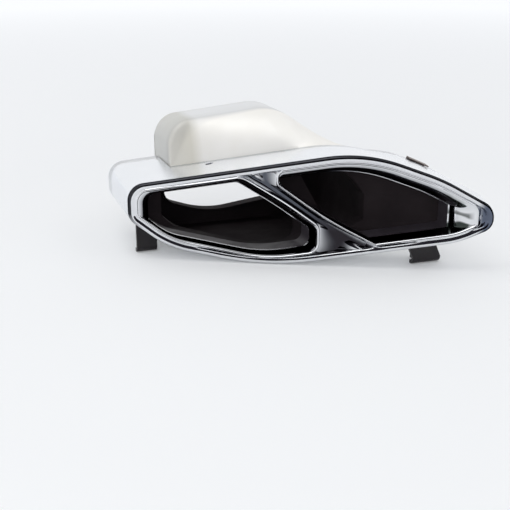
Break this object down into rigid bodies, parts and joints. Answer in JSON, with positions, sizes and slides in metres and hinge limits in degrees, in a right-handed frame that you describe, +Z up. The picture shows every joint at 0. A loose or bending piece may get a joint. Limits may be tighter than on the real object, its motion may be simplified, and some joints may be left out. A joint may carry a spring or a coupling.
{
  "type": "exhaust tip",
  "caption": "Twin-mouth bumper exhaust tip with a leaf-shaped polished face, slanted divider, collar, rear housing and feet",
  "frame": {"origin": "middle of the bounding box, on the ground under the housing and both feet", "axes": "+X across the tip, to its right as seen from in front; +Y from the face back to the inlet; +Z up"},
  "size_m": [0.2188, 0.1778, 0.0943],
  "materials": {
    "polished": "polished",
    "satin_steel": "satin",
    "black_liner": "matte",
    "black_paint": "semi-gloss"
  },
  "bodies": {
    "root": {"bezel": "polished", "collar": "polished", "left_liner": "black_liner", "right_liner": "black_liner", "rear_housing": "satin_steel", "inner_duct": "black_liner", "left_bracket": "black_paint", "right_bracket": "black_paint", "edge_clip": "black_paint"}
  },
  "joints": []
}
